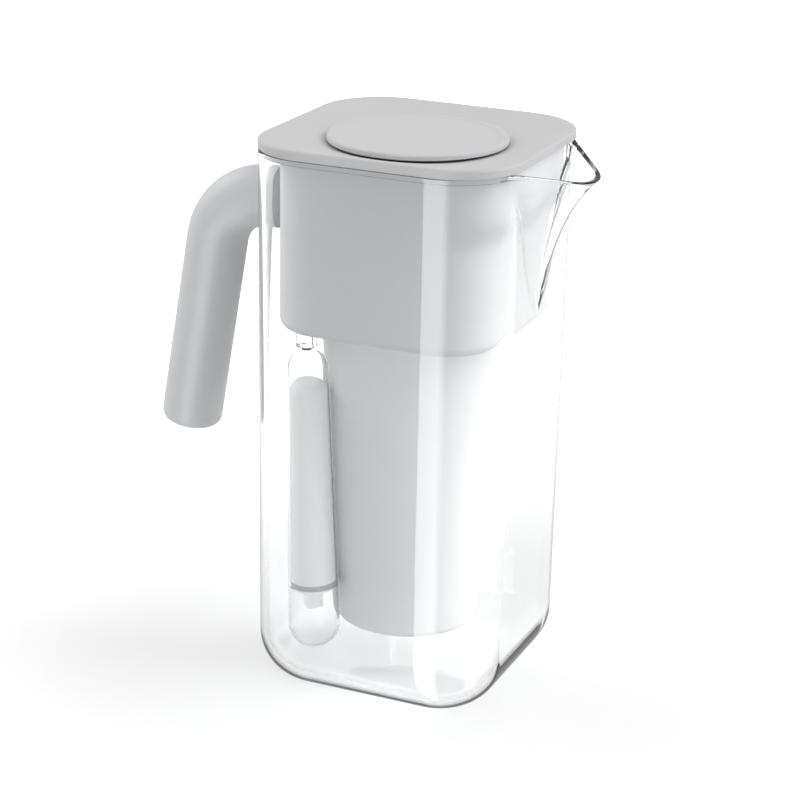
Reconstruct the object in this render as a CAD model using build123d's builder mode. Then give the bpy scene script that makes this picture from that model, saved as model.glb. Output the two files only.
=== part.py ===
"""A square clear water pitcher with a lift-out reservoir, a twist-in filter and a tubular handle.

Millimetres, +Z up. The origin is the centre of the jug's flat base. The spout points along +X and
the handle along -X.
"""
from build123d import *
from math import cos, sin, tan, atan, degrees, radians
import os

# Jug
body_width = 126.0
body_depth = 127.0
jug_height = 264.5
side_draft = 1.2
corner_radius = 32.5
jug_wall = 3.0
jug_floor = 4.0
base_radius = 24.0

# Stepped rim that holds the reservoir's flange
rim_land = 1.5
flange_thickness = 2.8
flange_rise = 0.3
rim_gap = 0.3

# Spout, by drop below the rim: how far its nose stands out from the wall, the nose's radius, and
# half the angle between its sides, which opens lower down
spout_stations = (
    (-1.5, 27.9, 24.0, 48.2),
    (7.8, 25.4, 20.0, 48.2),
    (12.5, 21.3, 18.0, 48.2),
    (26.5, 12.0, 14.0, 53.0),
    (44.5, 5.0, 16.0, 64.0),
    (66.5, -0.6, 12.0, 75.0),
)
spout_wall = 2.7
spout_inner_share = 0.8
spout_root = 16.0
lip_reach = 25.4
lip_drop = 7.8

# Handle: a tube that leaves the wall level, turns down through an elbow and leans outwards
grip_diameter = 30.0
grip_wall = 2.6
handle_drop = 35.5
collar_length = 11.2
collar_diameter = 28.6
gasket_thickness = 0.8
elbow_reach = 37.8
elbow_radius = 28.5
grip_lean = 9.2
grip_drop = 115.5
end_cap_rim = 6.0
end_cap_round = 5.0
end_spigot_length = 9.0
collar_spigot_length = 7.0
spigot_clearance = 1.1

# Screws that hold the handle, put in from inside the jug
screw_spacing = 14.0
screw_diameter = 4.0
screw_length = 12.0
screw_head_diameter = 7.6
screw_head_height = 1.8
screw_head_taper = 20.0
washer_thickness = 0.7
screw_hole_clearance = 0.4
screw_slot_width = 0.9
screw_slot_share = 0.6
washer_margin = 0.4
cover_wall = 0.9
cover_clearance = 0.4

# Reservoir. Its side stands this far inside the jug's outer side.
reservoir_gap = 9.1
reservoir_radius = 25.5
reservoir_drop = 85.0
reservoir_wall = 2.2
reservoir_base_radius = 5.0
brow_corner_radius = 30.0
brow_height = 37.0
brow_slope = 17.0
brow_gap = 0.6
mouth_half_width = 43.8

# Filter. Its neck stands inside the reservoir's side, and its foot above the jug's floor.
filter_side_gap = 10.7
filter_taper = 8.2
filter_foot_gap = 23.8
filter_edge_radius = 3.5
filter_wall = 2.0
filter_hole_clearance = 0.8
filter_flange_width = 3.6
filter_flange_thickness = 2.6
filter_collar_step = 0.2
filter_collar_height = 5.0
filter_cap_height = 4.0
seal_thickness = 1.2
seal_gap = 0.1
lug_count = 3
lug_angle = 24.0
lug_clearance = 0.4
lug_thickness = 2.0
lug_neck_gap = 1.6
lug_root = 0.5
notch_neck_gap = 0.8
notch_extra_angle = 4.0
socket_clearance = 0.5
socket_wall = 1.4
outlet_hole_diameter = 3.0
outlet_rings = ((10.0, 6), (20.0, 12))
inlet_slot_count = 12
inlet_slot_width = 3.0
inlet_slot_middle = 0.62
inlet_slot_share = 0.42
screen_thickness = 1.0
bed_clearance = 0.3
carbon_share = 0.55
finger_bar_height = 11.0
finger_bar_share = 0.7
finger_bar_width = 4.0
finger_bar_corner = 1.8
finger_bar_round = 1.5

# Side tube: stands in the jug's front corner on the handle side, along the filter's taper
tube_bottom_radius = 13.0
tube_top_radius = 9.8
tube_wall = 0.9
tube_dome_share = 0.92
tube_foot_gap = 13.0
tube_top_gap = 10.0
tube_gap = 1.0
tube_bearing = 226.0
tube_cap_length = 33.0
tube_joint_gap = 0.3
tube_core_gap = 0.1
tube_core_share = 0.9
tube_core_round = 5.0
tube_stem_radius = 2.4
tube_stem_length = 8.0
tube_socket_wall = 2.4
tube_socket_clearance = 0.4
tube_socket_tube_gap = 1.5
tube_seal_height = 2.0
tube_seal_width = 1.5
valve_size = 8.0
valve_height = 12.0
valve_plate_thickness = 1.2
valve_plate_ring = 2.2
valve_plate_clearance = 0.05
valve_bridge_width = 2.0

# Lid
lid_thickness = 4.4
lid_overhang = 0.2
lid_nose = 1.3
lid_edge_radius = 1.4
dish_margin = 1.8
dish_drop = 5.2
dish_cover = 2.3
dish_rim_slope = 0.16
dish_floor_slope = 0.2
dish_wall = 2.0
opening_radius = 30.2
skirt_height = 6.5
skirt_wall = 2.0
skirt_gap = 1.7
gasket_bead = 1.4
lid_gasket_height = 3.0
lid_gasket_inset = 1.0
guide_height = 12.0
guide_wall = 1.6

# Refill cap
cap_radius = 42.3
cap_thickness = 2.7
cap_sink = 1.4
cap_rim_width = 4.0
cap_dish = 0.5
cap_dish_slope = 60.0
cap_edge_radius = 1.0
plug_clearance = 1.2
plug_wall = 1.8
plug_depth = 7.0
cap_seal_height = 2.0
cap_seal_clearance = 0.4
cap_seal_rise = 1.0
foot_count = 4
foot_diameter = 2.4
foot_clearance = 0.1
foot_bearing = 258.0

# Places worked out from the sizes above
half_width = body_width / 2
half_depth = body_depth / 2
handle_axis_height = jug_height - handle_drop
grip_end_height = handle_axis_height - grip_drop
draft_angle = degrees(atan(side_draft / jug_height))
flange_top = jug_height + flange_rise
flange_bottom = flange_top - flange_thickness
reservoir_bottom = jug_height - reservoir_drop
reservoir_floor_top = reservoir_bottom + reservoir_wall
reservoir_half = half_width - reservoir_gap
reservoir_width = 2 * reservoir_half
filter_top_radius = reservoir_half - filter_side_gap
filter_bottom_radius = filter_top_radius - filter_taper
filter_bottom = jug_floor + filter_foot_gap
filter_depth = reservoir_bottom - filter_bottom
tube_bottom_height = jug_floor + tube_foot_gap
dish_radius = half_width - dish_margin
dish_floor_radius = cap_radius - dish_cover
brow_reach = half_width - jug_wall - brow_gap
lid_bottom = flange_top
lid_top = lid_bottom + lid_thickness
dish_floor = lid_top - dish_drop
cap_top = lid_top - cap_sink
cap_bottom = cap_top - cap_thickness


def rounded_square(width, depth, radius, height):
    """A rounded rectangle centred on the axis, at one height."""
    with BuildSketch(Plane.XY.offset(height)) as section:
        RectangleRounded(width, depth, radius)
    return section.sketch


def square_ring(width, radius, thickness, height):
    """A rounded square ring of even thickness, at one height."""
    with BuildSketch(Plane.XY.offset(height)) as section:
        RectangleRounded(width, width, radius)
        bore = width - 2 * thickness
        RectangleRounded(bore, bore, radius - thickness, mode=Mode.SUBTRACT)
    return section.sketch


def rim_outline(inset, height):
    """The jug's outline at the rim, moved inwards."""
    return rounded_square(body_width - 2 * inset, body_depth - 2 * inset, corner_radius - inset, height)


def screw_circles(radius):
    """Draw one circle for each screw in the open sketch."""
    with Locations((0, handle_axis_height)):
        with GridLocations(0, screw_spacing, 1, 2):
            Circle(radius)


# Jug body


def spout_section(drop, nose, radius, half_angle, inset):
    """A V with a round nose. Its sides start at a line inside the wall, and its root further in."""
    wall_line = half_width - jug_wall / 2 - inset
    root = wall_line - spout_root
    apex = half_width + nose + radius * (1 / sin(radians(half_angle)) - 1)
    half = (apex - wall_line) * tan(radians(half_angle))
    with BuildSketch(Plane.XY.offset(jug_height - drop)) as section:
        with BuildLine():
            Polyline(
                (root, -half), (wall_line, -half), (apex, 0), (wall_line, half), (root, half), close=True
            )
        make_face()
        fillet(section.vertices().sort_by(Axis.X)[-1], radius)
    return section.sketch


outer_sections = [spout_section(*station, 0) for station in spout_stations]
inner_sections = [
    spout_section(drop, nose - spout_wall, spout_inner_share * radius, half_angle, jug_wall)
    for drop, nose, radius, half_angle in spout_stations
]

with BuildPart() as jug_body:
    add(rim_outline(0, jug_height))
    extrude(amount=-jug_height, taper=draft_angle)
    fillet(jug_body.faces().sort_by(Axis.Z)[0].edges(), base_radius)
    loft(sections=outer_sections)

with BuildPart() as jug_cavity:
    add(rim_outline(jug_wall, jug_height))
    extrude(amount=-(jug_height - jug_floor), taper=draft_angle)
    fillet(jug_cavity.faces().sort_by(Axis.Z)[0].edges(), base_radius - jug_wall)
    loft(sections=inner_sections)

with BuildPart() as jug_body_finished:
    add(jug_body.part)
    add(jug_cavity.part, mode=Mode.SUBTRACT)
    # The rim is level over the square body and falls along the spout to its lip
    fall = lip_drop / lip_reach
    past_lip = 2 * lip_reach
    headroom = 20.0
    with BuildSketch(Plane.XZ):
        with BuildLine():
            Polyline(
                (-body_width, jug_height),
                (half_width, jug_height),
                (half_width + past_lip, jug_height - fall * past_lip),
                (half_width + past_lip, jug_height + headroom),
                (-body_width, jug_height + headroom),
                close=True,
            )
        make_face()
    extrude(amount=body_depth, both=True, mode=Mode.SUBTRACT)
    add(rim_outline(rim_land, jug_height))
    extrude(amount=-(flange_thickness - flange_rise), mode=Mode.SUBTRACT)
    with BuildSketch(Plane.YZ.offset(-half_width)):
        screw_circles(screw_diameter / 2 + screw_hole_clearance)
    extrude(amount=2 * jug_wall, both=True, mode=Mode.SUBTRACT)
jug_body_finished.part.label = "jug_body"

# Handle. The jug's side leans in below the rim, so the gasket starts at the wall's own place.

wall_lean = side_draft * (jug_height - handle_axis_height) / jug_height
wall_face = -(half_width - wall_lean)
inner_face = wall_face + jug_wall
collar_start = wall_face - gasket_thickness
collar_end = collar_start - collar_length
bore_radius = grip_diameter / 2 - grip_wall
elbow_corner = (-(half_width + elbow_reach), handle_axis_height)
lean_run = (handle_axis_height - grip_end_height) * tan(radians(grip_lean))
grip_end = (elbow_corner[0] - lean_run, grip_end_height)
grip_direction = Vector(grip_end[0] - elbow_corner[0], 0, grip_end[1] - elbow_corner[1]).normalized()
grip_end_plane = Plane(origin=(grip_end[0], 0, grip_end[1]), x_dir=(0, 1, 0), z_dir=grip_direction)
wall_out = (-cos(radians(draft_angle)), 0, -sin(radians(draft_angle)))
wall_plane = Plane(origin=(wall_face, 0, handle_axis_height), x_dir=(0, 1, 0), z_dir=wall_out)


def handle_path():
    """Level from the collar, round the elbow and down the grip."""
    with BuildLine(Plane.XZ) as path:
        FilletPolyline((collar_end, handle_axis_height), elbow_corner, grip_end, radius=elbow_radius)
    return path.line


with BuildPart() as handle_grip:
    with BuildSketch(Plane(origin=(collar_end, 0, handle_axis_height), z_dir=(-1, 0, 0))):
        Circle(grip_diameter / 2)
        Circle(bore_radius, mode=Mode.SUBTRACT)
    sweep(path=handle_path())
handle_grip.part.label = "handle_grip"

with BuildPart() as handle_end_cap:
    with BuildSketch(grip_end_plane):
        Circle(grip_diameter / 2)
    extrude(amount=end_cap_rim)
    end_face = handle_end_cap.faces().sort_by(Axis(grip_end_plane.origin, grip_direction))[-1]
    fillet(end_face.edges(), end_cap_round)
    with BuildSketch(grip_end_plane):
        Circle(bore_radius - spigot_clearance)
    extrude(amount=-end_spigot_length)
handle_end_cap.part.label = "handle_end_cap"

with BuildPart() as handle_collar:
    with BuildSketch(Plane.YZ.offset(collar_end)):
        with Locations((0, handle_axis_height)):
            Circle(collar_diameter / 2)
    extrude(amount=2 * collar_length)
    with BuildSketch(Plane.YZ.offset(collar_end)):
        with Locations((0, handle_axis_height)):
            Circle(bore_radius - spigot_clearance)
    extrude(amount=-collar_spigot_length)
    split(bisect_by=wall_plane.offset(gasket_thickness), keep=Keep.TOP)
    with BuildSketch(Plane.YZ.offset(inner_face - screw_length)):
        screw_circles(screw_diameter / 2)
    extrude(amount=2 * screw_length, mode=Mode.SUBTRACT)
handle_collar.part.label = "handle_collar"

with BuildPart() as handle_gasket:
    with BuildSketch(Plane.YZ.offset(collar_end)):
        with Locations((0, handle_axis_height)):
            Circle(collar_diameter / 2)
    extrude(amount=2 * collar_length)
    split(bisect_by=wall_plane.offset(gasket_thickness), keep=Keep.BOTTOM)
    split(bisect_by=wall_plane, keep=Keep.TOP)
    with BuildSketch(Plane.YZ.offset(collar_end)):
        screw_circles(screw_diameter / 2 + screw_hole_clearance)
    extrude(amount=2 * collar_length, mode=Mode.SUBTRACT)
handle_gasket.part.label = "handle_gasket"

inner_plane = wall_plane.offset(-jug_wall)
washer_seat = wall_plane.offset(-(jug_wall + washer_thickness))
washer_radius = screw_head_diameter / 2 + washer_margin

with BuildPart() as screw_washers:
    with BuildSketch(Plane.YZ.offset(inner_face - jug_wall)):
        screw_circles(washer_radius)
    extrude(amount=2 * jug_wall)
    split(bisect_by=inner_plane, keep=Keep.BOTTOM)
    split(bisect_by=washer_seat, keep=Keep.TOP)
    with BuildSketch(Plane.YZ.offset(inner_face - jug_wall)):
        screw_circles(screw_diameter / 2)
    extrude(amount=3 * jug_wall, mode=Mode.SUBTRACT)
screw_washers.part.label = "screw_washers"

head_start = inner_face + washer_thickness + side_draft * screw_spacing / jug_height

with BuildPart() as handle_screws:
    with BuildSketch(Plane.YZ.offset(head_start)):
        screw_circles(screw_head_diameter / 2)
    extrude(amount=screw_head_height, taper=screw_head_taper)
    with BuildSketch(Plane.YZ.offset(inner_face - screw_length)):
        screw_circles(screw_diameter / 2)
    extrude(amount=head_start - inner_face + screw_length)
    with BuildSketch(Plane.YZ.offset(head_start + screw_head_height)):
        with Locations((0, handle_axis_height)):
            with GridLocations(0, screw_spacing, 1, 2):
                Rectangle(screw_slot_share * screw_head_diameter, screw_slot_width)
                Rectangle(screw_slot_width, screw_slot_share * screw_head_diameter)
    extrude(amount=-screw_head_height / 2, mode=Mode.SUBTRACT)
handle_screws.part.label = "handle_screws"

cover_start = inner_face + side_draft * 2 * screw_spacing / jug_height
cover_inner_width = 2 * (washer_radius + cover_clearance)
cover_depth = head_start + screw_head_height + cover_clearance + cover_wall - cover_start

with BuildPart() as screw_cover:
    with BuildSketch(Plane.YZ.offset(cover_start)):
        with Locations((0, handle_axis_height)):
            SlotCenterToCenter(screw_spacing, cover_inner_width + 2 * cover_wall, rotation=90)
    extrude(amount=cover_depth)
    fillet(screw_cover.faces().sort_by(Axis.X)[-1].edges(), cover_wall)
    with BuildSketch(Plane.YZ.offset(cover_start)):
        with Locations((0, handle_axis_height)):
            SlotCenterToCenter(screw_spacing, cover_inner_width, rotation=90)
    extrude(amount=cover_depth - cover_wall, mode=Mode.SUBTRACT)
screw_cover.part.label = "screw_cover"

# Side tube. Its axis leans with the filter's side, so the gap between them is even.


def filter_radius(height):
    """The housing's outer radius at one height below the reservoir."""
    taper = (filter_top_radius - filter_bottom_radius) / filter_depth
    return filter_top_radius - taper * (reservoir_bottom - height)


tube_top_height = reservoir_bottom - tube_top_gap
tube_length = tube_top_height - tube_bottom_height
tube_heading = (cos(radians(tube_bearing)), sin(radians(tube_bearing)))


def tube_axis_point(height, radius):
    """A point on the tube's axis: the filter's side plus the gap and the tube's own radius."""
    away = filter_radius(height) + tube_gap + radius
    return Vector(away * tube_heading[0], away * tube_heading[1], height)


tube_foot = tube_axis_point(tube_bottom_height, tube_bottom_radius)
tube_head = tube_axis_point(tube_top_height, tube_top_radius)
tube_direction = (tube_head - tube_foot).normalized()
tube_plane = Plane(origin=tube_foot, x_dir=(tube_heading[0], tube_heading[1], 0), z_dir=tube_direction)
tube_profile_plane = Plane(origin=tube_foot, x_dir=tube_plane.x_dir, z_dir=-tube_plane.y_dir)
tube_axis = Axis(tube_foot, tube_direction)


def tube_radius(along):
    """The tube's outer radius at a distance from its foot."""
    return tube_bottom_radius + (tube_top_radius - tube_bottom_radius) * along / tube_length


def tube_band(start, end, inset, end_round=0.0):
    """A solid slice of the tube between two distances from its foot, moved inwards."""
    with BuildPart() as band:
        with BuildSketch(tube_profile_plane):
            with BuildLine():
                Polyline(
                    (0, start),
                    (tube_radius(start) - inset, start),
                    (tube_radius(end) - inset, end),
                    (0, end),
                    close=True,
                )
            make_face()
        revolve(axis=tube_axis)
        if end_round:
            top_face = band.faces().sort_by(tube_axis)[-1]
            fillet(top_face.edges(), end_round)
    return band.part


def tube_dome(start, end, inset, bottom):
    """A slice of the tube with one half-round end."""
    with BuildPart() as dome:
        add(tube_band(start, end, inset))
        face = dome.faces().sort_by(tube_axis)[0 if bottom else -1]
        dome_radius = min(tube_radius(start), tube_radius(end)) - inset
        fillet(face.edges(), tube_dome_share * dome_radius)
    return dome.part


with BuildPart() as side_tube_shell:
    add(tube_dome(tube_cap_length, tube_length, 0, bottom=False))
    add(tube_dome(tube_cap_length, tube_length - tube_wall, tube_wall, bottom=False), mode=Mode.SUBTRACT)
    with BuildSketch(tube_plane.offset(tube_length - tube_wall / 2)):
        Circle(tube_stem_radius)
    extrude(amount=tube_stem_length)
side_tube_shell.part.label = "side_tube_shell"

core_start = tube_cap_length + tube_seal_height + tube_joint_gap
core_end = tube_core_share * tube_length
with BuildPart() as side_tube_core:
    add(tube_band(core_start, core_end, tube_wall + tube_core_gap, end_round=tube_core_round))
side_tube_core.part.label = "side_tube_core"

seal_end = tube_cap_length + tube_seal_height
seal_inset = tube_wall + tube_joint_gap
with BuildPart() as side_tube_seal:
    add(tube_band(tube_cap_length, seal_end, seal_inset))
    add(tube_band(tube_cap_length, seal_end, seal_inset + tube_seal_width), mode=Mode.SUBTRACT)
side_tube_seal.part.label = "side_tube_seal"

cap_top_along = tube_cap_length - tube_joint_gap
with BuildPart() as side_tube_cap:
    add(tube_dome(0, cap_top_along, 0, bottom=True))
    add(tube_dome(tube_wall, cap_top_along, tube_wall, bottom=True), mode=Mode.SUBTRACT)
side_tube_cap.part.label = "side_tube_cap"

valve_ring = tube_radius(tube_cap_length) - tube_wall - valve_plate_clearance
with BuildPart() as side_tube_valve:
    with BuildSketch(tube_plane.offset(cap_top_along - valve_height)):
        RectangleRounded(valve_size, valve_size, valve_size / 5)
    extrude(amount=valve_height)
    with BuildSketch(tube_plane.offset(cap_top_along)):
        Circle(valve_size / 4)
    extrude(amount=-valve_size, mode=Mode.SUBTRACT)
    with BuildSketch(tube_plane.offset(cap_top_along - valve_plate_thickness)):
        Circle(valve_ring)
        Circle(valve_ring - valve_plate_ring, mode=Mode.SUBTRACT)
        Rectangle(2 * valve_ring - valve_plate_ring, valve_bridge_width)
        Circle(valve_size / 4, mode=Mode.SUBTRACT)
    extrude(amount=valve_plate_thickness)
side_tube_valve.part.label = "side_tube_valve"

with BuildPart() as tube_socket:
    socket_top = tube_head + tube_direction * tube_top_gap
    socket_length = tube_top_gap - tube_socket_tube_gap
    with BuildSketch(Plane.XY.offset(reservoir_bottom)):
        with Locations((socket_top.X, socket_top.Y)):
            Circle(tube_stem_radius + tube_socket_clearance + tube_socket_wall)
    extrude(amount=-socket_length)
    with BuildSketch(tube_plane.offset(tube_length - tube_wall)):
        Circle(tube_stem_radius + tube_socket_clearance)
    extrude(amount=tube_stem_length + tube_wall, mode=Mode.SUBTRACT)
tube_socket.part.label = "tube_socket"

# Reservoir


def reservoir_section(inset, height):
    """The reservoir's square outline at one height, moved inwards."""
    side = reservoir_width - 2 * inset
    return rounded_square(side, side, reservoir_radius - inset, height)


def brow_block(inset, low):
    """The part of the reservoir that fills the jug's mouth under the spout."""
    reach = brow_reach - inset
    with BuildPart() as block:
        with BuildSketch(Plane.XY.offset(low)):
            RectangleRounded(2 * reach, reservoir_width - 2 * inset, brow_corner_radius - inset)
            with Locations((reach / 2, 0)):
                Rectangle(reach, reservoir_width, mode=Mode.INTERSECT)
        extrude(amount=flange_top - low)
        # The underside slopes back to the reservoir's side
        slope_low = flange_top - brow_height + inset
        with BuildSketch(Plane.XZ):
            with BuildLine():
                Polyline(
                    (reservoir_half - inset, slope_low),
                    (reach + inset, slope_low + brow_slope),
                    (reach + inset + brow_slope, slope_low + brow_slope),
                    (reach + inset + brow_slope, slope_low - brow_slope),
                    (reservoir_half - inset, slope_low - brow_slope),
                    close=True,
                )
            make_face()
        extrude(amount=body_depth, both=True, mode=Mode.SUBTRACT)
    return block.part


brow_low = flange_top - brow_height
with BuildPart() as reservoir_shell:
    add(reservoir_section(0, reservoir_bottom))
    extrude(amount=flange_top - reservoir_bottom)
    fillet(reservoir_shell.faces().sort_by(Axis.Z)[0].edges(), reservoir_base_radius)
    add(brow_block(0, brow_low))
    add(rim_outline(rim_land + rim_gap, flange_bottom))
    extrude(amount=flange_thickness)
    # The flange stops at the spout's mouth
    with BuildSketch(Plane.XY.offset(flange_bottom)):
        with Locations((brow_reach + half_width / 2, 0)):
            Rectangle(half_width, 2 * mouth_half_width)
    extrude(amount=flange_thickness, mode=Mode.SUBTRACT)

with BuildPart() as reservoir_hollow:
    add(reservoir_section(reservoir_wall, reservoir_floor_top))
    extrude(amount=flange_top - reservoir_floor_top)
    fillet(reservoir_hollow.faces().sort_by(Axis.Z)[0].edges(), reservoir_base_radius - reservoir_wall)
    add(brow_block(reservoir_wall, brow_low))

with BuildPart() as reservoir_finished:
    add(reservoir_shell.part)
    add(reservoir_hollow.part, mode=Mode.SUBTRACT)
    with BuildSketch(Plane.XY.offset(reservoir_bottom)):
        Circle(filter_top_radius + filter_hole_clearance)
    extrude(amount=reservoir_wall, mode=Mode.SUBTRACT)
reservoir_finished.part.label = "reservoir_shell"

# Filter and its bayonet socket

flange_radius = filter_top_radius + filter_flange_width
filter_flange_bottom = reservoir_floor_top + seal_gap + seal_thickness
filter_flange_top = filter_flange_bottom + filter_flange_thickness
filter_collar_top = filter_flange_top + filter_collar_height
filter_collar_radius = filter_top_radius - filter_collar_step
lug_low = filter_flange_top + lug_clearance
socket_inner = flange_radius + socket_clearance
socket_top_height = lug_low + lug_thickness


def lug_sectors(inner, outer, angle, low):
    """One wedge for each bayonet lug, cut to a ring between two radii."""
    with BuildSketch(Plane.XY.offset(low)) as sector:
        with BuildLine():
            along = 2 * outer * cos(radians(angle / 2))
            aside = 2 * outer * sin(radians(angle / 2))
            Polyline((0, 0), (along, aside), (along, -aside), close=True)
        make_face()
        Circle(outer, mode=Mode.INTERSECT)
        Circle(inner, mode=Mode.SUBTRACT)
    with BuildSketch(Plane.XY.offset(low)) as sectors:
        with PolarLocations(0, lug_count):
            add(sector.sketch)
    return sectors.sketch


with BuildPart() as filter_socket:
    with BuildSketch(Plane.XY.offset(reservoir_floor_top)):
        Circle(socket_inner + socket_wall)
        Circle(socket_inner, mode=Mode.SUBTRACT)
    extrude(amount=socket_top_height - reservoir_floor_top)
    add(lug_sectors(filter_top_radius + lug_neck_gap, socket_inner + lug_root, lug_angle, lug_low))
    extrude(amount=lug_thickness)
filter_socket.part.label = "filter_socket"

with BuildPart() as filter_housing:
    with BuildSketch(Plane.XZ):
        with BuildLine():
            Polyline(
                (0, filter_bottom),
                (filter_bottom_radius, filter_bottom),
                (filter_top_radius, reservoir_bottom),
                (filter_top_radius, filter_flange_bottom),
                (flange_radius, filter_flange_bottom),
                (flange_radius, filter_flange_top),
                (filter_collar_radius, filter_flange_top),
                (filter_collar_radius, filter_collar_top),
                (0, filter_collar_top),
                close=True,
            )
        make_face()
    revolve(axis=Axis.Z)
    fillet(filter_housing.faces().sort_by(Axis.Z)[0].edges(), filter_edge_radius)
    with BuildSketch(Plane.XZ):
        with BuildLine():
            Polyline(
                (0, filter_bottom + filter_wall),
                (filter_bottom_radius - filter_wall, filter_bottom + filter_wall),
                (filter_top_radius - filter_wall, reservoir_bottom),
                (filter_collar_radius - filter_wall, filter_collar_top),
                (0, filter_collar_top),
                close=True,
            )
        make_face()
    revolve(axis=Axis.Z, mode=Mode.SUBTRACT)
    with BuildSketch(Plane.XY.offset(filter_bottom)):
        Circle(outlet_hole_diameter / 2)
        for ring, count in outlet_rings:
            with PolarLocations(ring, count):
                Circle(outlet_hole_diameter / 2)
    extrude(amount=filter_wall, mode=Mode.SUBTRACT)
    # Notches that pass the lugs, a half pitch away from the locked place
    notch_angle = lug_angle + notch_extra_angle
    notch_inner = filter_top_radius + notch_neck_gap
    notches = lug_sectors(notch_inner, socket_inner, notch_angle, filter_flange_bottom)
    add(notches.rotate(Axis.Z, 180 / lug_count))
    extrude(amount=filter_flange_thickness, mode=Mode.SUBTRACT)
filter_housing.part.label = "filter_housing"

with BuildPart() as filter_seal:
    with BuildSketch(Plane.XY.offset(reservoir_floor_top + seal_gap)):
        Circle(flange_radius)
        Circle(filter_top_radius + seal_gap, mode=Mode.SUBTRACT)
    extrude(amount=seal_thickness)
filter_seal.part.label = "filter_seal"

with BuildPart() as filter_cap:
    with BuildSketch(Plane.XY.offset(filter_collar_top)):
        Circle(filter_collar_radius)
    extrude(amount=filter_cap_height)
    fillet(filter_cap.faces().sort_by(Axis.Z)[-1].edges(), filter_cap_height / 2)
    with BuildSketch(Plane.XY.offset(filter_collar_top)):
        with PolarLocations(inlet_slot_middle * filter_collar_radius, inlet_slot_count):
            SlotOverall(inlet_slot_share * filter_collar_radius, inlet_slot_width)
    extrude(amount=filter_cap_height, mode=Mode.SUBTRACT)
    with BuildSketch(Plane.XY.offset(filter_collar_top + filter_cap_height)):
        RectangleRounded(finger_bar_share * filter_collar_radius, finger_bar_width, finger_bar_corner)
    extrude(amount=finger_bar_height)
    fillet(filter_cap.faces().sort_by(Axis.Z)[-1].edges(), finger_bar_round)
filter_cap.part.label = "filter_cap"


def filter_fill(low, high, name):
    """A round slice that fills the housing between two heights."""
    inset = filter_wall + bed_clearance
    with BuildPart() as fill:
        with BuildSketch(Plane.XZ):
            with BuildLine():
                Polyline(
                    (0, low),
                    (filter_radius(low) - inset, low),
                    (filter_radius(high) - inset, high),
                    (0, high),
                    close=True,
                )
            make_face()
        revolve(axis=Axis.Z)
    fill.part.label = name
    return fill.part


fill_low = filter_bottom + filter_wall
bed_low = fill_low + screen_thickness
bed_high = reservoir_bottom - 2 * screen_thickness
bed_split = bed_low + carbon_share * (bed_high - bed_low)
outlet_screen = filter_fill(fill_low, bed_low, "outlet_screen")
carbon_bed = filter_fill(bed_low, bed_split, "carbon_bed")
resin_bed = filter_fill(bed_split, bed_high, "resin_bed")
inlet_screen = filter_fill(bed_high, bed_high + screen_thickness, "inlet_screen")

# Lid


def lid_section(inset, height):
    """The plate's outline. Its spout side reaches a little further than the others."""
    grow = lid_overhang - inset
    with BuildSketch(Plane.XY.offset(height)) as section:
        with Locations((lid_nose / 2, 0)):
            RectangleRounded(body_width + lid_nose + 2 * grow, body_depth + 2 * grow, corner_radius + grow)
    return section.sketch


skirt_width = reservoir_width - 2 * (reservoir_wall + skirt_gap)
skirt_radius = reservoir_radius - reservoir_wall - skirt_gap
skirt_top = dish_floor - dish_wall

with BuildPart() as lid_plate:
    add(lid_section(0, lid_bottom))
    extrude(amount=lid_thickness)
    fillet(lid_plate.faces().sort_by(Axis.Z)[-1].edges(), lid_edge_radius)
    add(rounded_square(skirt_width, skirt_width, skirt_radius, lid_bottom))
    extrude(amount=-(lid_bottom - skirt_top))
    with BuildSketch(Plane.XZ):
        with BuildLine():
            rim_point = (dish_radius, lid_top)
            floor_point = (dish_floor_radius, dish_floor)
            Spline(rim_point, floor_point, tangents=((-1, -dish_rim_slope), (-1, -dish_floor_slope)))
            above = lid_top + lid_thickness
            Polyline(floor_point, (0, dish_floor), (0, above), (dish_radius, above), rim_point)
        make_face()
    revolve(axis=Axis.Z, mode=Mode.SUBTRACT)
    with BuildSketch(Plane.XY.offset(lid_top)):
        Circle(opening_radius)
    extrude(amount=-2 * (lid_thickness + dish_wall), mode=Mode.SUBTRACT)
lid_plate.part.label = "lid_plate"

with BuildPart() as lid_skirt:
    add(square_ring(skirt_width, skirt_radius, skirt_wall, skirt_top))
    extrude(amount=-skirt_height)
lid_skirt.part.label = "lid_skirt"

with BuildPart() as lid_gasket:
    bead_width = skirt_width + 2 * gasket_bead
    bead_bottom = skirt_top - skirt_height + lid_gasket_inset
    add(square_ring(bead_width, skirt_radius + gasket_bead, gasket_bead, bead_bottom))
    extrude(amount=lid_gasket_height)
lid_gasket.part.label = "lid_gasket"

with BuildPart() as refill_guide:
    with BuildSketch(Plane.XY.offset(skirt_top)):
        Circle(opening_radius + guide_wall)
        Circle(opening_radius, mode=Mode.SUBTRACT)
    extrude(amount=-guide_height)
refill_guide.part.label = "refill_guide"

# Refill cap

with BuildPart() as refill_cap:
    with BuildSketch(Plane.XY.offset(cap_bottom)):
        Circle(cap_radius)
    extrude(amount=cap_thickness)
    fillet(refill_cap.edges().filter_by(GeomType.CIRCLE), cap_edge_radius)
    with BuildSketch(Plane.XY.offset(cap_top)):
        Circle(cap_radius - cap_rim_width)
    extrude(amount=-cap_dish, taper=cap_dish_slope, mode=Mode.SUBTRACT)
refill_cap.part.label = "refill_cap"

plug_radius = opening_radius - plug_clearance
with BuildPart() as cap_plug:
    with BuildSketch(Plane.XY.offset(cap_bottom)):
        Circle(plug_radius)
        Circle(plug_radius - plug_wall, mode=Mode.SUBTRACT)
    extrude(amount=-plug_depth)
cap_plug.part.label = "cap_plug"

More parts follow.
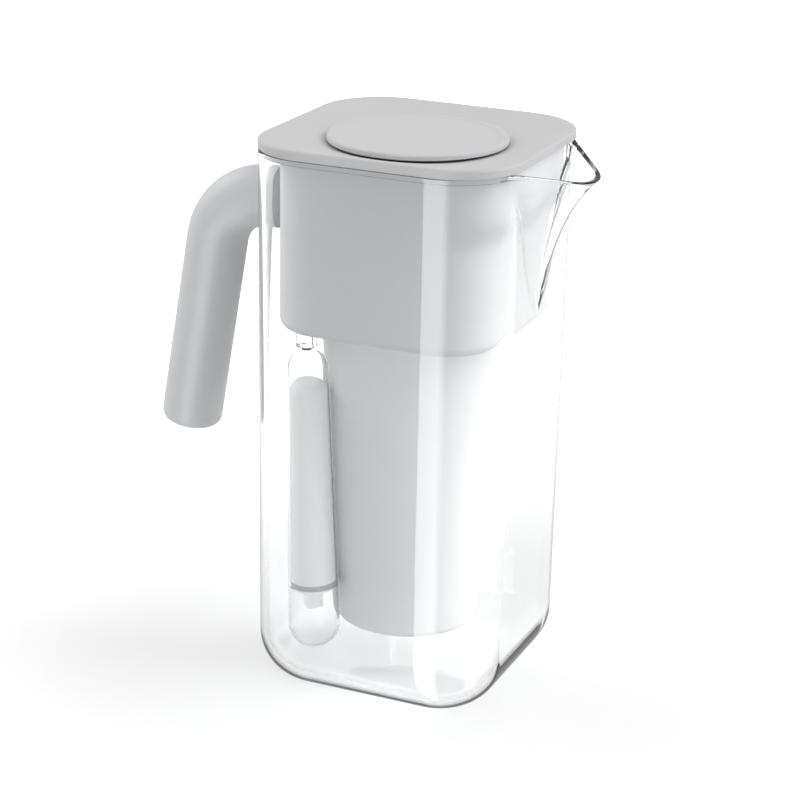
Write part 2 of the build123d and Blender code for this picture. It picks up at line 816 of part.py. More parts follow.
with BuildPart() as cap_seal:
    with BuildSketch(Plane.XY.offset(cap_bottom - plug_depth + cap_seal_rise)):
        Circle(opening_radius - cap_seal_clearance)
        Circle(plug_radius, mode=Mode.SUBTRACT)
    extrude(amount=cap_seal_height)
cap_seal.part.label = "cap_seal"

with BuildPart() as cap_feet:
    with BuildSketch(Plane.XY.offset(cap_bottom)):
        with PolarLocations(cap_radius - 2 * foot_diameter, foot_count, start_angle=foot_bearing):
            Circle(foot_diameter / 2)
    extrude(amount=-(cap_bottom - dish_floor - foot_clearance))
cap_feet.part.label = "cap_feet"

finished = [
    jug_body_finished.part,
    handle_gasket.part,
    handle_collar.part,
    handle_grip.part,
    handle_end_cap.part,
    handle_screws.part,
    screw_washers.part,
    screw_cover.part,
    reservoir_finished.part,
    filter_socket.part,
    tube_socket.part,
    filter_housing.part,
    filter_seal.part,
    filter_cap.part,
    inlet_screen,
    carbon_bed,
    resin_bed,
    outlet_screen,
    side_tube_shell.part,
    side_tube_core.part,
    side_tube_seal.part,
    side_tube_cap.part,
    side_tube_valve.part,
    lid_plate.part,
    lid_skirt.part,
    lid_gasket.part,
    refill_guide.part,
    refill_cap.part,
    cap_plug.part,
    cap_seal.part,
    cap_feet.part,
]

os.makedirs("parts", exist_ok=True)
for piece in finished:
    export_step(piece, f"parts/{piece.label}.step")

print("side tube axis", tuple(tube_direction), "through", tuple(tube_foot))
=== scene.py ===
"""Looks for a clear square water pitcher. Metres, +Z up, the spout along +X and the handle along -X."""
import math

import bpy
import numpy as np
from mathutils import Matrix, Vector


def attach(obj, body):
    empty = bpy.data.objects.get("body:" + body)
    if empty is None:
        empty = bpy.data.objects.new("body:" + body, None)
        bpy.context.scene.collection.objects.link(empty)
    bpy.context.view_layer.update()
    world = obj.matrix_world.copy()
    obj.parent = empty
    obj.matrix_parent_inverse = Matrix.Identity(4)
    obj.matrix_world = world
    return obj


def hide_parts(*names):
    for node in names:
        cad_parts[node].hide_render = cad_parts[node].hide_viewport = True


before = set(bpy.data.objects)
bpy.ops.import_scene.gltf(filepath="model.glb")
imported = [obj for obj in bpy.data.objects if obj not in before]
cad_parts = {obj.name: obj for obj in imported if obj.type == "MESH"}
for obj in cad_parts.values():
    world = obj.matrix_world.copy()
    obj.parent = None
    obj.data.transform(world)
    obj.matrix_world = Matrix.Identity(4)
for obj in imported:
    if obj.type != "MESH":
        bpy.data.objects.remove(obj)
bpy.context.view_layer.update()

MM = 0.001
scene = bpy.context.scene

# The jug's sizes, as the part's source names them, in millimetres
body_half = np.array([63.0, 63.5])
jug_height = 264.5
side_draft = 1.2
corner_radius = 32.5
jug_wall = 3.0
jug_floor = 4.0
base_radius = 24.0
rim_land = 1.5
rim_step = 2.5
spout_drop = np.array([-1.5, 7.8, 12.5, 26.5, 44.5, 66.5])
spout_nose = np.array([27.9, 25.4, 21.3, 12.0, 5.0, -0.6])
spout_radius = np.array([24.0, 20.0, 18.0, 14.0, 16.0, 12.0])
spout_half_angle = np.radians([48.2, 48.2, 48.2, 53.0, 64.0, 75.0])
rim_round = 0.25
spout_wall = 2.7
spout_inner_share = 0.8
spout_tail_slope = 0.35
lip_fall = 7.8 / 25.4
lip_blend = 4.0
crease_width = 3.0
spout_wall_line = 61.5
base_shares = (0.35, 0.75)

# The reservoir's, lid's and refill cap's sizes
flange_low, flange_top = 262.0, 264.8
flange_half = np.array([61.2, 61.7])
flange_corner = 30.7
reservoir_low = 179.5
reservoir_half = 53.9
reservoir_corner = 25.5
reservoir_wall = 2.2
reservoir_base_radius = 5.0
reservoir_hole = 44.0
brow_low, brow_rise = 227.8, 17.0
brow_depth = 5.5
brow_corner = 22.0
mouth_half_width = 43.8
lid_low, lid_top = 264.8, 269.2
lid_half = np.array([63.85, 63.7])
lid_centre = 0.65
lid_corner = 32.7
lid_edge_radius = 1.4
lid_neck_low = 262.0
lid_neck_half, lid_neck_corner = 50.0, 21.6
lid_opening = 30.2
dish_inner = 40.0
dish_depth = 5.4
disc_radius = 42.3
disc_low, disc_top = 265.1, 267.8
disc_rim_round = 1.0


def skin(name, rings, close_start=False, close_end=False, loop=False, sharp=40.0):
    """A surface over rings of points, (rings, points, 3) in millimetres: face (i, j) joins points j
    and j + 1 of ring i to those of ring i + 1. An end is closed with a fan to the middle of its ring,
    and a loop joins the last ring to the first."""
    rings = np.asarray(rings, float)
    count, around = rings.shape[:2]
    index = np.arange(count * around).reshape(count, around)
    low, high = (index, np.roll(index, -1, 0)) if loop else (index[:-1], index[1:])
    quads = np.stack([low, np.roll(low, -1, 1), np.roll(high, -1, 1), high], -1).reshape(-1, 4)
    points = rings.reshape(-1, 3)
    faces = quads.tolist()
    for closed, ring, turn in ((close_start, 0, True), (close_end, count - 1, False)):
        if closed:
            points = np.vstack([points, rings[ring].mean(0)])
            middle = np.full(around, len(points) - 1)
            here, beyond = index[ring], np.roll(index[ring], -1)
            fan = [beyond, here, middle] if turn else [here, beyond, middle]
            faces += np.stack(fan, -1).tolist()
    return solid_mesh(name, points, faces, sharp)


def solid_mesh(name, points, faces, sharp):
    """A smooth-shaded object from points in millimetres, with its faces outwards: the volume summed
    over the triangles of each face is positive when they are."""
    mesh = bpy.data.meshes.new(name)
    mesh.from_pydata((np.asarray(points) * MM).tolist(), [], faces)
    mesh.update()
    mesh.calc_loop_triangles()
    places = np.zeros(len(mesh.vertices) * 3)
    mesh.vertices.foreach_get("co", places)
    corners = np.zeros(len(mesh.loop_triangles) * 3, int)
    mesh.loop_triangles.foreach_get("vertices", corners)
    a, b, c = np.moveaxis(places.reshape(-1, 3)[corners.reshape(-1, 3)], 1, 0)
    if np.einsum("ij,ij->i", a, np.cross(b, c)).sum() < 0:
        mesh.flip_normals()
    mesh.shade_smooth()
    mesh.set_sharp_from_angle(angle=math.radians(sharp))
    piece = bpy.data.objects.new(name, mesh)
    scene.collection.objects.link(piece)
    return piece


def soft_max(a, b, width):
    """The larger of a and b, with a round of that width where they cross: max + h * h * width / 4,
    where h falls from 1 to 0 as the two part by the width."""
    blend = np.clip(1 - np.abs(a - b) / width, 0, None)
    return np.maximum(a, b) + blend**2 * width / 4


def square_reach(angle, half_x, half_y, corner):
    """Distance from the axis to a rounded rectangle's edge, along an angle: to a side where the ray
    meets its flat, and otherwise to the corner's circle."""
    along, aside = np.abs(np.cos(angle)), np.abs(np.sin(angle))
    core_x, core_y = half_x - corner, half_y - corner
    to_x = half_x / np.maximum(along, 1e-9)
    to_y = half_y / np.maximum(aside, 1e-9)
    across = core_x * along + core_y * aside
    to_corner = across + np.sqrt(np.maximum(across**2 - core_x**2 - core_y**2 + corner**2, 0))
    reach = np.where(to_x * aside <= core_y, to_x, to_corner)
    return np.where(to_y * along <= core_x, to_y, reach)


def eased(drop, values):
    """Values between the spout's stations, along a curve that is smooth and never overshoots: in each
    span a cubic whose end slopes are the harmonic mean of the spans' slopes on its two sides."""
    gap = np.diff(spout_drop)
    rise = np.diff(values) / gap
    before, after = rise[:-1], rise[1:]
    agree = before * after > 0
    total = np.where(agree, before + after, 1.0)
    slope = np.concatenate([rise[:1], np.where(agree, 2 * before * after / total, 0.0), rise[-1:]])
    span = np.clip(np.searchsorted(spout_drop, drop, side="right") - 1, 0, len(gap) - 1)
    t = (drop - spout_drop[span]) / gap[span]
    start, end = values[span], values[span + 1]
    lead, trail = slope[span] * gap[span], slope[span + 1] * gap[span]
    bend = 3 * (end - start) - 2 * lead - trail
    return start + lead * t + bend * t**2 + (lead + trail - 2 * (end - start)) * t**3


def spout_reach(angle, height, wall, share, inset):
    """Distance from the axis to the spout's V: its round nose ahead, then its straight sides, which
    stop at a line just inside the jug's wall and run straight back from there."""
    drop = jug_height - height
    held = np.clip(drop, spout_drop[0], spout_drop[-1])
    below = np.maximum(drop - spout_drop[-1], 0)
    nose = eased(held, spout_nose) - wall - spout_tail_slope * below
    radius = share * eased(held, spout_radius)
    half = eased(held, spout_half_angle)
    turn = np.abs(np.arctan2(np.sin(angle), np.cos(angle)))
    centre = body_half[0] + nose - radius
    apex = centre + radius / np.sin(half)
    side = apex * np.sin(half) / np.sin(np.minimum(turn + half, math.radians(150)))
    tangent = np.arctan2(radius * np.cos(half), centre + radius * np.sin(half))
    aside = centre * np.sin(turn)
    round_nose = centre * np.cos(turn) + np.sqrt(np.maximum(radius**2 - aside**2, 0))
    half_width = (apex - (spout_wall_line - inset)) * np.tan(half)
    side = np.minimum(side, half_width / np.maximum(np.sin(turn), 1e-3))
    side = np.where(turn < math.pi / 2, side, 0.0)
    return np.where(turn < tangent, round_nose, side)


def jug_reach(angle, height, inset, wall, share):
    """The jug's outline along an angle at a height: the larger of the drafted square and the spout."""
    inwards = side_draft * (jug_height - height) / jug_height + inset
    square = square_reach(
        angle, body_half[0] - inwards, body_half[1] - inwards, corner_radius - inwards
    )
    return soft_max(square, spout_reach(angle, height, wall, share, inset), crease_width)


def jug_rings(count):
    """Rings of the whole jug, from the middle of its base up the outside, over the rim and its step,
    and down the inside to the middle of its floor."""
    angle = np.linspace(0, 2 * math.pi, count, endpoint=False)
    flat = np.ones(count)

    def ring(height, inset=0.0, wall=0.0, share=1.0, scale=1.0):
        reach = jug_reach(angle, height * flat, inset, wall, share) * scale
        return np.stack([reach * np.cos(angle), reach * np.sin(angle), height * flat], -1)

    top = jug_height * flat
    for _ in range(12):
        out = jug_reach(angle, top, 0, 0, 1) * np.cos(angle) - body_half[0]
        top = jug_height - lip_fall * soft_max(out, 0, lip_blend)
    inside = dict(inset=jug_wall, wall=spout_wall, share=spout_inner_share)
    stepped = dict(inset=rim_land, wall=spout_wall, share=spout_inner_share)
    rings = [ring(0.0, base_radius, 0, 1, scale) for scale in base_shares]
    for turn in np.radians(np.linspace(0, 90, 13)):
        rings.append(ring(base_radius * (1 - math.cos(turn)), base_radius * (1 - math.sin(turn))))
    climb = np.concatenate([np.linspace(0, 0.62, 12)[1:], np.linspace(0.62, 1, 46)[1:]])
    for share in climb:
        rings.append(ring(base_radius + share * (top - 1.6 - base_radius)))
    outer = jug_reach(angle, top, 0, 0, 1)
    inner = jug_reach(angle, top, **stepped)
    round_size = rim_round * (outer - inner)
    for start, way in ((outer, -1), (inner, 1)):
        for turn in np.radians(np.linspace(0, 90, 6))[::-way]:
            reach = start + way * round_size * (1 - math.cos(turn))
            low = top - round_size * (1 - math.sin(turn))
            rings.append(np.stack([reach * np.cos(angle), reach * np.sin(angle), low], -1))
    step = np.minimum(jug_height - rim_step, top - 1.5)
    rings += [ring(step + 0.2, **stepped), ring(step, **stepped)]
    rings += [ring(step - 0.02, **inside), ring(step - 0.3, **inside)]
    inner_round = base_radius - jug_wall
    start = jug_floor + inner_round
    for share in climb[::-1][1:]:
        rings.append(ring(start + share * (step - 0.6 - start), **inside))
    for turn in np.radians(np.linspace(90, 0, 13)):
        low = jug_floor + inner_round * (1 - math.cos(turn))
        rings.append(ring(low, inset=jug_wall + inner_round * (1 - math.sin(turn)), wall=spout_wall))
    rings += [ring(jug_floor, base_radius, 0, 1, scale) for scale in base_shares[::-1]]
    return np.array(rings)


def set_painted_edge_shades(piece):
    """Two attributes of the jug, both painted shade. The first is how much an edge-on view darkens a
    point: fully outside, not at all inside, and less on the spout's underside and the foot towards it,
    which the table lights. The second marks what shows as a painted dark line for the shade along an
    edge: the narrow ledge under the flange, and the spout's rim, most of all on its far side."""
    mesh = piece.data
    place = np.zeros(len(mesh.vertices) * 3)
    mesh.vertices.foreach_get("co", place)
    x, y, z = place.reshape(-1, 3).T / MM
    angle = np.arctan2(y, x)
    outer = jug_reach(angle, np.minimum(z, jug_height), 0, 0, 1)
    depth = outer - np.hypot(x, y)
    past_wall = x - body_half[0]
    inside = np.clip(depth / 1.5, 0, 1) * (z > base_radius)
    spout = np.clip((past_wall + 1.5) / 3, 0, 1) * np.clip((jug_height - 6 - z) / 6, 0, 1)
    foot = smooth((x - 38) / 15) * smooth((45 - z) / 20)
    tones = {"painted_edge_shade": (1 - inside) * (1 - 0.7 * spout) * (1 - 0.65 * foot)}
    ledge = (np.abs(z - (jug_height - rim_step - 0.01)) < 0.05) & (depth > 1.0)
    lip = jug_height - lip_fall * np.maximum(past_wall, 0)
    rim = (depth > 0.3) & (depth < spout_wall + 0.5) & (z > lip - 0.9)
    far_side = 0.55 + 0.35 * smooth(y / 3)
    tones["painted_dark_line"] = np.maximum(0.8 * ledge, far_side * rim * smooth(past_wall / 9))
    for name, values in tones.items():
        mesh.attributes.new(name, "FLOAT", "POINT").data.foreach_set("value", values.astype(np.float32))


def smooth(share):
    """An even ease from 0 to 1."""
    share = np.clip(share, 0, 1)
    return share * share * (3 - 2 * share)


def reservoir_rings(count):
    """Rings of the reservoir, from the hole in its floor out, up the outside to the brow that fills
    the spout's mouth, over the flange, and down the inside back to the hole."""
    angle = np.linspace(0, 2 * math.pi, count, endpoint=False)
    flat = np.ones(count)
    ahead = np.cos(angle) > 0

    def reach_at(height, inset=0.0):
        swell = smooth((height - brow_low) / brow_rise)
        half = reservoir_half - inset
        plain = square_reach(angle, half, half, reservoir_corner - inset)
        corner = reservoir_corner + (brow_corner - reservoir_corner) * swell - inset
        brow = square_reach(angle, half + brow_depth * swell, half, corner)
        return np.where(ahead, brow, plain)

    def ring(height, reach):
        return np.stack([reach * np.cos(angle), reach * np.sin(angle), height * flat], -1)

    def wall(low, high, inset):
        return [ring(height, reach_at(height, inset)) for height in np.linspace(low, high, 30)]

    def base(low, size, inset):
        turns = np.radians(np.linspace(0, 84, 7))
        return [
            ring(low + size * (1 - math.cos(turn)), reach_at(low, inset + size * (1 - math.sin(turn))))
            for turn in turns
        ]

    edge = square_reach(angle, *flange_half, flange_corner)
    mouth = ahead & (np.abs(edge * np.sin(angle)) < mouth_half_width)
    edge = np.where(mouth, reach_at(flange_top), edge)
    floor = reservoir_low + reservoir_wall
    inner_round = reservoir_base_radius - reservoir_wall
    rings = [ring(reservoir_low, reservoir_hole * flat)]
    rings += base(reservoir_low, reservoir_base_radius, 0.0)
    rings += wall(reservoir_low + reservoir_base_radius, flange_low, 0.0)
    rings += [ring(flange_low, edge), ring(flange_top - 0.3, edge), ring(flange_top, edge - 0.3)]
    rings += wall(floor + inner_round, flange_top, reservoir_wall)[::-1]
    rings += base(floor, inner_round, reservoir_wall)[::-1]
    rings.append(ring(floor, reservoir_hole * flat))
    return np.array(rings)


def lid_rings(count):
    """Rings of the lid plate, from the opening's lower edge out over the neck, up the plate's side,
    over its rounded edge and down the dish, which follows the plate's outline outside and the refill
    cap inside."""
    angle = np.linspace(0, 2 * math.pi, count, endpoint=False)

    def points(reach, height, centre=0.0):
        flat = np.ones(count)
        return np.stack([centre + reach * np.cos(angle), reach * np.sin(angle), height * flat], -1)

    def outline(inset, height):
        half = lid_half - inset
        return points(square_reach(angle, *half, lid_corner - inset), height, lid_centre)

    neck = square_reach(angle, lid_neck_half, lid_neck_half, lid_neck_corner)
    rings = [points(lid_opening, lid_neck_low), points(neck, lid_neck_low), points(neck, lid_low)]
    rings += [outline(0.3, lid_low), outline(0.0, lid_low + 0.3)]
    for turn in np.radians(np.linspace(0, 90, 7)):
        drop = lid_edge_radius * (1 - math.sin(turn))
        rings.append(outline(lid_edge_radius * (1 - math.cos(turn)), lid_top - drop))
    rim, middle = outline(lid_edge_radius, lid_top), points(dish_inner, lid_top)
    for share in np.linspace(0, 1, 33)[1:]:
        ring = rim + (middle - rim) * share
        ring[:, 2] -= dish_depth * share**1.15
        rings.append(ring)
    floor = lid_top - dish_depth
    rings += [points(lid_opening + 0.6, floor), points(lid_opening, floor - 0.6)]
    return np.array(rings)


def disc_rings(count):
    """Rings of the refill cap, from the middle of its underside over its rim to the middle of its top,
    which lies a little below the rim."""
    angle = np.linspace(0, 2 * math.pi, count, endpoint=False)
    profile = [(12, disc_low), (disc_radius - 0.4, disc_low), (disc_radius, disc_low + 0.3)]
    for turn in np.radians(np.linspace(0, 90, 7)):
        out = disc_radius - disc_rim_round * (1 - math.cos(turn))
        profile.append((out, disc_top - disc_rim_round * (1 - math.sin(turn))))
    for share in np.linspace(0, 1, 9)[1:]:
        profile.append((disc_radius - 2.9 - 2.4 * share, disc_top - 0.5 * smooth(share)))
    profile += [(24, disc_top - 0.5), (10, disc_top - 0.5)]
    radius, height = np.array(profile, float).T[:, :, None]
    return np.stack(np.broadcast_arrays(radius * np.cos(angle), radius * np.sin(angle), height), -1)


# Materials. Each starts from its own Principled shader; what varies over a surface comes from a group.


def maths(tree, operation, *values):
    """A Math node's result, from numbers or from other nodes' outputs."""
    node = tree.nodes.new("ShaderNodeMath")
    node.operation = operation
    for socket, value in zip(node.inputs, values):
        if isinstance(value, (int, float)):
            socket.default_value = value
        else:
            tree.links.new(value, socket)
    return node.outputs["Value"]


def ramp(tree, value, low, high, start=0.0, end=1.0):
    """An even ease from start to end while a value goes from low to high."""
    node = tree.nodes.new("ShaderNodeMapRange")
    node.interpolation_type = "SMOOTHSTEP"
    for label, number in (("From Min", low), ("From Max", high), ("To Min", start), ("To Max", end)):
        node.inputs[label].default_value = number
    tree.links.new(value, node.inputs["Value"])
    return node.outputs["Result"]


def material(name):
    """A new node material with its Principled shader and nothing else set."""
    made = bpy.data.materials.new(name)
    made.use_nodes = True
    return made, made.node_tree, made.node_tree.nodes["Principled BSDF"]


def group(name, inputs, outputs):
    """A shader node group with named float, colour and vector sockets."""
    tree = bpy.data.node_groups.new(name, "ShaderNodeTree")
    for side, sockets in (("INPUT", inputs), ("OUTPUT", outputs)):
        for label, kind in sockets.items():
            tree.interface.new_socket(name=label, in_out=side, socket_type="NodeSocket" + kind)
    return tree, tree.nodes.new("NodeGroupInput"), tree.nodes.new("NodeGroupOutput")


def moulded_surface():
    """Moulded plastic: a fine spark texture, slow changes of tone, and slightly uneven gloss."""
    tree, given, result = group(
        "moulded_surface",
        {"Color": "Color", "Roughness": "Float", "Grain Scale": "Float", "Grain Depth": "Float"},
        {"Color": "Color", "Roughness": "Float", "Normal": "Vector"},
    )
    nodes, link = tree.nodes, tree.links.new
    place = nodes.new("ShaderNodeTexCoord").outputs["Object"]
    grain = nodes.new("ShaderNodeTexNoise")
    grain.inputs["Detail"].default_value = 3.0
    link(place, grain.inputs["Vector"])
    link(given.outputs["Grain Scale"], grain.inputs["Scale"])
    drift = nodes.new("ShaderNodeTexNoise")
    drift.inputs["Scale"].default_value = 22.0
    drift.inputs["Detail"].default_value = 2.0
    link(place, drift.inputs["Vector"])
    tone = nodes.new("ShaderNodeMapRange")
    tone.inputs["To Min"].default_value = 0.975
    tone.inputs["To Max"].default_value = 1.02
    link(drift.outputs["Fac"], tone.inputs["Value"])
    tint = nodes.new("ShaderNodeVectorMath")
    tint.operation = "SCALE"
    link(given.outputs["Color"], tint.inputs[0])
    link(tone.outputs["Result"], tint.inputs["Scale"])
    link(tint.outputs["Vector"], result.inputs["Color"])
    uneven = maths(tree, "MULTIPLY_ADD", grain.outputs["Fac"], 0.1, given.outputs["Roughness"])
    link(uneven, result.inputs["Roughness"])
    bump = nodes.new("ShaderNodeBump")
    bump.inputs["Strength"].default_value = 0.35
    link(grain.outputs["Fac"], bump.inputs["Height"])
    link(given.outputs["Grain Depth"], bump.inputs["Distance"])
    link(bump.outputs["Normal"], result.inputs["Normal"])
    return tree


moulded = moulded_surface()


def grained(name, colour, roughness, scale, depth=None):
    """A solid finish of one colour, with the moulded surface's grain at its own scale. Without a depth
    it is a turned metal, whose grain only shows in its gloss."""
    made, tree, shader = material(name)
    effect = tree.nodes.new("ShaderNodeGroup")
    effect.node_tree = moulded
    effect.inputs["Color"].default_value = (*colour, 1)
    effect.inputs["Roughness"].default_value = roughness
    effect.inputs["Grain Scale"].default_value = scale
    tree.links.new(effect.outputs["Color"], shader.inputs["Base Color"])
    tree.links.new(effect.outputs["Roughness"], shader.inputs["Roughness"])
    if depth is None:
        shader.inputs["Metallic"].default_value = 1.0
    else:
        effect.inputs["Grain Depth"].default_value = depth
        tree.links.new(effect.outputs["Normal"], shader.inputs["Normal"])
    return made


def plastic(name, colour, roughness):
    """Moulded plastic or rubber: the fine spark texture of its mould."""
    return grained(name, colour, roughness, 2600.0, 0.00005)


def clear_plastic(name, edge, power, ior, marked=False):
    """Clear moulded plastic: glass that lets lamps through, with its colour falling to a grey where it
    is seen edge on. The grey is partly the longer path the eye takes through the plastic there, and
    partly painted shade for the dark lines that refraction and reflection draw along such edges. A
    marked piece says where that painted edge shade shows less, and where an edge is a painted dark
    line."""
    made, tree, shader = material(name)
    nodes, link = tree.nodes, tree.links.new
    facing = nodes.new("ShaderNodeLayerWeight")
    facing.inputs["Blend"].default_value = 0.5
    factor = maths(tree, "POWER", facing.outputs["Facing"], power)
    colour = nodes.new("ShaderNodeMix")
    colour.data_type = "RGBA"
    colour.inputs["A"].default_value = (0.985, 0.99, 0.992, 1)
    colour.inputs["B"].default_value = (*edge, 1)
    if marked:
        # Painted shade: the jug's edge darkening and its dark lines, read from its attributes.
        for mark, operation in (("painted_edge_shade", "MULTIPLY"), ("painted_dark_line", "MAXIMUM")):
            share = nodes.new("ShaderNodeAttribute")
            share.attribute_name = mark
            factor = maths(tree, operation, factor, share.outputs["Fac"])
    link(factor, colour.inputs["Factor"])
    link(colour.outputs["Result"], shader.inputs["Base Color"])
    shader.inputs["Transmission Weight"].default_value = 1.0
    shader.inputs["Roughness"].default_value = 0.0
    shader.inputs["IOR"].default_value = ior
    path = nodes.new("ShaderNodeLightPath")
    through = nodes.new("ShaderNodeBsdfTransparent")
    through.inputs["Color"].default_value = (0.97, 0.975, 0.98, 1)
    mix = nodes.new("ShaderNodeMixShader")
    link(path.outputs["Is Shadow Ray"], mix.inputs[0])
    link(shader.outputs["BSDF"], mix.inputs[1])
    link(through.outputs["BSDF"], mix.inputs[2])
    link(mix.outputs["Shader"], nodes["Material Output"].inputs["Surface"])
    return made


clear_jug = clear_plastic("clear_jug_plastic", (0.12, 0.124, 0.135), 5.5, 1.45, marked=True)
clear_tube = clear_plastic("clear_tube_plastic", (0.6, 0.61, 0.63), 4.0, 1.15)
lid_white = plastic("lid_white_satin", (0.63, 0.63, 0.638), 0.42)
disc_white = plastic("refill_cap_satin", (0.65, 0.65, 0.657), 0.40)
reservoir_white = plastic("reservoir_frosted", (0.88, 0.885, 0.895), 0.38)
filter_white = plastic("filter_white", (0.96, 0.96, 0.963), 0.40)
handle_grey = plastic("handle_satin_grey", (0.74, 0.745, 0.755), 0.42)
collar_grey = plastic("collar_dark_grey", (0.22, 0.222, 0.23), 0.45)
silicone = plastic("seal_silicone", (0.66, 0.67, 0.68), 0.55)
foot_rubber = plastic("foot_rubber", (0.05, 0.05, 0.052), 0.7)
core_frosted = plastic("side_core_frosted", (0.95, 0.955, 0.96), 0.5)
# Painted light: a small emission makes the frosted core glow, standing for light that reaches it
# through the clear shell and the jug.
core_painted_light = core_frosted.node_tree.nodes["Principled BSDF"]
core_painted_light.inputs["Emission Color"].default_value = (1, 1, 1, 1)
core_painted_light.inputs["Emission Strength"].default_value = 0.17
screen_felt = grained("screen_felt", (0.86, 0.86, 0.85), 0.9, 900.0, 0.0006)
carbon_grains = grained("carbon_grains", (0.035, 0.035, 0.037), 0.6, 700.0, 0.0012)
resin_beads = grained("resin_beads", (0.62, 0.46, 0.22), 0.35, 900.0, 0.001)
# Painted shade: the refill cap's dark underside stands for the shade in the narrow gap under its rim,
# which shows as a dark line.
underside_painted_shade = plastic("cap_underside_painted_shade", (0.14, 0.14, 0.145), 0.6)
steel = grained("screw_steel", (0.62, 0.62, 0.63), 0.25, 1800.0)

finishes = {
    clear_tube: ("side_tube_shell", "side_tube_cap", "tube_socket"),
    lid_white: ("lid_skirt", "refill_guide", "screw_cover"),
    disc_white: ("cap_plug",),
    reservoir_white: ("filter_socket",),
    filter_white: ("filter_housing", "filter_cap"),
    handle_grey: ("handle_grip", "handle_end_cap"),
    collar_grey: ("handle_collar",),
    silicone: (
        "handle_gasket", "screw_washers", "filter_seal", "lid_gasket", "cap_seal", "side_tube_seal"
    ),
    foot_rubber: ("cap_feet",),
    core_frosted: ("side_tube_core", "side_tube_valve"),
    screen_felt: ("inlet_screen", "outlet_screen"),
    carbon_grains: ("carbon_bed",),
    resin_beads: ("resin_bed",),
    steel: ("handle_screws",),
}
for finish, names in finishes.items():
    for name in names:
        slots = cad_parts[name].data.materials
        slots.clear()
        slots.append(finish)

jug = skin("clear_jug", jug_rings(480), close_start=True, close_end=True)
set_painted_edge_shades(jug)
jug.data.materials.append(clear_jug)
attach(jug, "jug")
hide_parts("jug_body")

reservoir = skin("frosted_reservoir", reservoir_rings(480), loop=True)
reservoir.data.materials.append(reservoir_white)
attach(reservoir, "reservoir")
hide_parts("reservoir_shell")

lid = skin("lid_top_plate", lid_rings(480), loop=True)
lid.data.materials.append(lid_white)
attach(lid, "lid")
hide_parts("lid_plate")

disc = skin("refill_disc", disc_rings(240), close_start=True, close_end=True)
disc.data.materials.append(disc_white)
disc.data.materials.append(underside_painted_shade)
# The faces that look down take the underside's painted shade.
lies_down = np.zeros(len(disc.data.polygons) * 3)
disc.data.polygons.foreach_get("normal", lies_down)
underside = (lies_down.reshape(-1, 3)[:, 2] < -0.5).astype(np.int32)
disc.data.polygons.foreach_set("material_index", underside)
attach(disc, "refill_cap")
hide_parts("refill_cap")

# Studio: a pale floor, a pale room, a soft key from the spout's side, a weak fill and a small low lamp


def unscattered(tree, path, kind):
    """A mask of one kind of ray, as long as no dull surface has scattered it."""
    return maths(tree, "MULTIPLY", path[kind], maths(tree, "LESS_THAN", path["Diffuse Depth"], 0.5))


def seen_rays(tree, path):
    """A mask of what the camera sees straight or through clear plastic."""
    return maths(tree, "MAXIMUM", path["Is Camera Ray"], unscattered(tree, path, "Is Transmission Ray"))


def see_white(tree, shader, near, far):
    """Adds light to a stage material only for what looks straight at it or through clear plastic, from
    one strength near the object to another far away, in metres."""
    seen = seen_rays(tree, tree.nodes.new("ShaderNodeLightPath").outputs)
    place = tree.nodes.new("ShaderNodeTexCoord")
    away = tree.nodes.new("ShaderNodeVectorMath")
    away.operation = "LENGTH"
    tree.links.new(place.outputs["Object"], away.inputs[0])
    rise = ramp(tree, away.outputs["Value"], 0.12, 0.45, near, far)
    tree.links.new(maths(tree, "MULTIPLY", seen, rise), shader.inputs["Emission Strength"])
    shader.inputs["Emission Color"].default_value = (1, 1, 1, 1)


floor_made, floor_tree, floor_shader = material("studio_floor")
floor_shader.inputs["Base Color"].default_value = (0.8, 0.8, 0.8, 1)
floor_shader.inputs["Roughness"].default_value = 1.0
floor_shader.inputs["Specular IOR Level"].default_value = 0.0
see_white(floor_tree, floor_shader, 0.265, 0.9)
spread = np.array([[-1, -1], [1, -1], [1, 1], [-1, 1]]) * 6000.0
corners = np.column_stack([spread, np.full(4, -0.2)])
floor = solid_mesh("studio_floor", corners, [(0, 1, 2, 3)], 40)
floor.data.materials.append(floor_made)
floor.visible_glossy = False
floor.visible_shadow = False


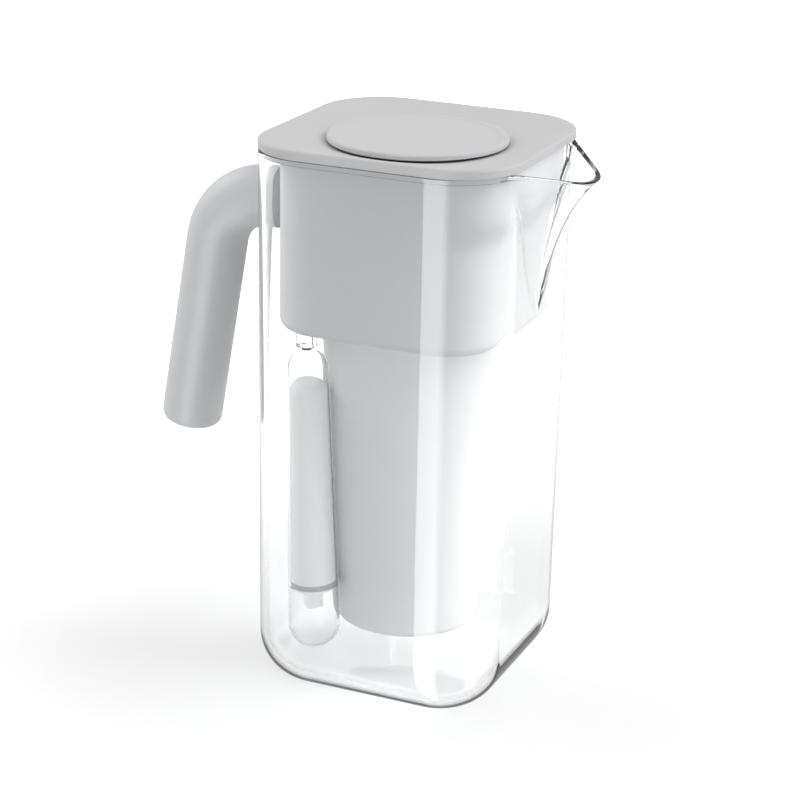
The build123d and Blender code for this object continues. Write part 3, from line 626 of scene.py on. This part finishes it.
def studio_room():
    """The room: an even pale light, white to the camera and through clear plastic. What a gloss
    reflects is a darker room, paler behind the object, with a tall bright panel in front of it and a
    softer one beside that. Bearings are in degrees from -Y towards +X."""
    even, dim_wall, pale_wall, bright_panel, soft_panel = 0.595, 0.35, 0.3, 6.0, 4.0
    world = bpy.data.worlds.new("studio_room")
    world.use_nodes = True
    scene.world = world
    tree = world.node_tree
    back = tree.nodes["Background"]

    def band(bearing, start, end):
        return maths(tree, "MULTIPLY", start, maths(tree, "SUBTRACT", 1.0, ramp(tree, bearing, *end)))

    place = tree.nodes.new("ShaderNodeTexCoord")
    axes = tree.nodes.new("ShaderNodeSeparateXYZ")
    tree.links.new(place.outputs["Generated"], axes.inputs[0])
    x, y = axes.outputs["X"], axes.outputs["Y"]
    turned = maths(tree, "ARCTAN2", x, maths(tree, "MULTIPLY", y, -1.0))
    bearing = maths(tree, "MULTIPLY", turned, 180 / math.pi)
    panel = band(bearing, ramp(tree, bearing, -22.6, -22.0), (8.5, 10.0))
    side = band(bearing, ramp(tree, bearing, 8.5, 10.0), (10.0, 22.0))
    behind = ramp(tree, maths(tree, "ABSOLUTE", bearing), 55.0, 85.0)
    mirrored = maths(tree, "MULTIPLY_ADD", panel, bright_panel, dim_wall)
    mirrored = maths(tree, "MULTIPLY_ADD", side, soft_panel, mirrored)
    mirrored = maths(tree, "MULTIPLY_ADD", behind, pale_wall, mirrored)
    path = tree.nodes.new("ShaderNodeLightPath").outputs
    seen, glossy = seen_rays(tree, path), unscattered(tree, path, "Is Glossy Ray")
    other = maths(tree, "SUBTRACT", 1.0, maths(tree, "MAXIMUM", seen, glossy))
    light = maths(tree, "MULTIPLY_ADD", glossy, mirrored, seen)
    light = maths(tree, "MULTIPLY_ADD", other, even, light)
    tree.links.new(light, back.inputs["Strength"])
    back.inputs["Color"].default_value = (1, 1, 1, 1)


studio_room()


def panel_light(name, place, aim, size, power):
    """A soft square lamp at a place, turned to a point, in metres."""
    lamp = bpy.data.lights.new(name, "AREA")
    lamp.shape = "RECTANGLE"
    lamp.size, lamp.size_y = size
    lamp.energy = power
    holder = bpy.data.objects.new(name, lamp)
    scene.collection.objects.link(holder)
    holder.matrix_world = Matrix.LocRotScale(
        Vector(place), (Vector(aim) - Vector(place)).to_track_quat("-Z", "Y"), Vector((1, 1, 1))
    )
    holder.visible_camera = False
    holder.visible_transmission = False
    return holder


panel_light("key_panel", (1.11, 0.37, 1.12), (0, 0, 0.13), (0.9, 0.9), 9.6)
panel_light("fill_panel", (-1.2, 0.1, 0.9), (0, 0, 0.15), (0.7, 0.7), 5)
low_panel = panel_light("low_panel", (0.57, 0.24, 0.07), (0, 0, 0.07), (0.2, 0.12), 0.035)
low_panel.data.spread = math.radians(26)

# Camera, solved from the photograph's edges: degrees, then metres
bearing, rise, roll = (math.radians(v) for v in (23.06, 19.74, 1.32))
aim, distance = Vector((0, 0, 0.1373)), 1.1113
level = math.cos(rise)
behind = Vector((math.sin(bearing) * level, -math.cos(bearing) * level, math.sin(rise)))
right = Vector((math.cos(bearing), math.sin(bearing), 0))
above = behind.cross(right)
side_axis = right * math.cos(roll) + above * math.sin(roll)
up_axis = above * math.cos(roll) - right * math.sin(roll)
turn = Matrix((side_axis, up_axis, behind)).transposed()
camera = bpy.data.objects.new("camera", bpy.data.cameras.new("camera"))
camera.data.sensor_width = 36.0
camera.data.lens = 104.08
camera.data.shift_x = -0.0149
camera.matrix_world = Matrix.LocRotScale(
    aim + distance * behind, turn.to_quaternion(), Vector((1, 1, 1))
)
scene.collection.objects.link(camera)
scene.camera = camera
scene.view_settings.view_transform = "Standard"
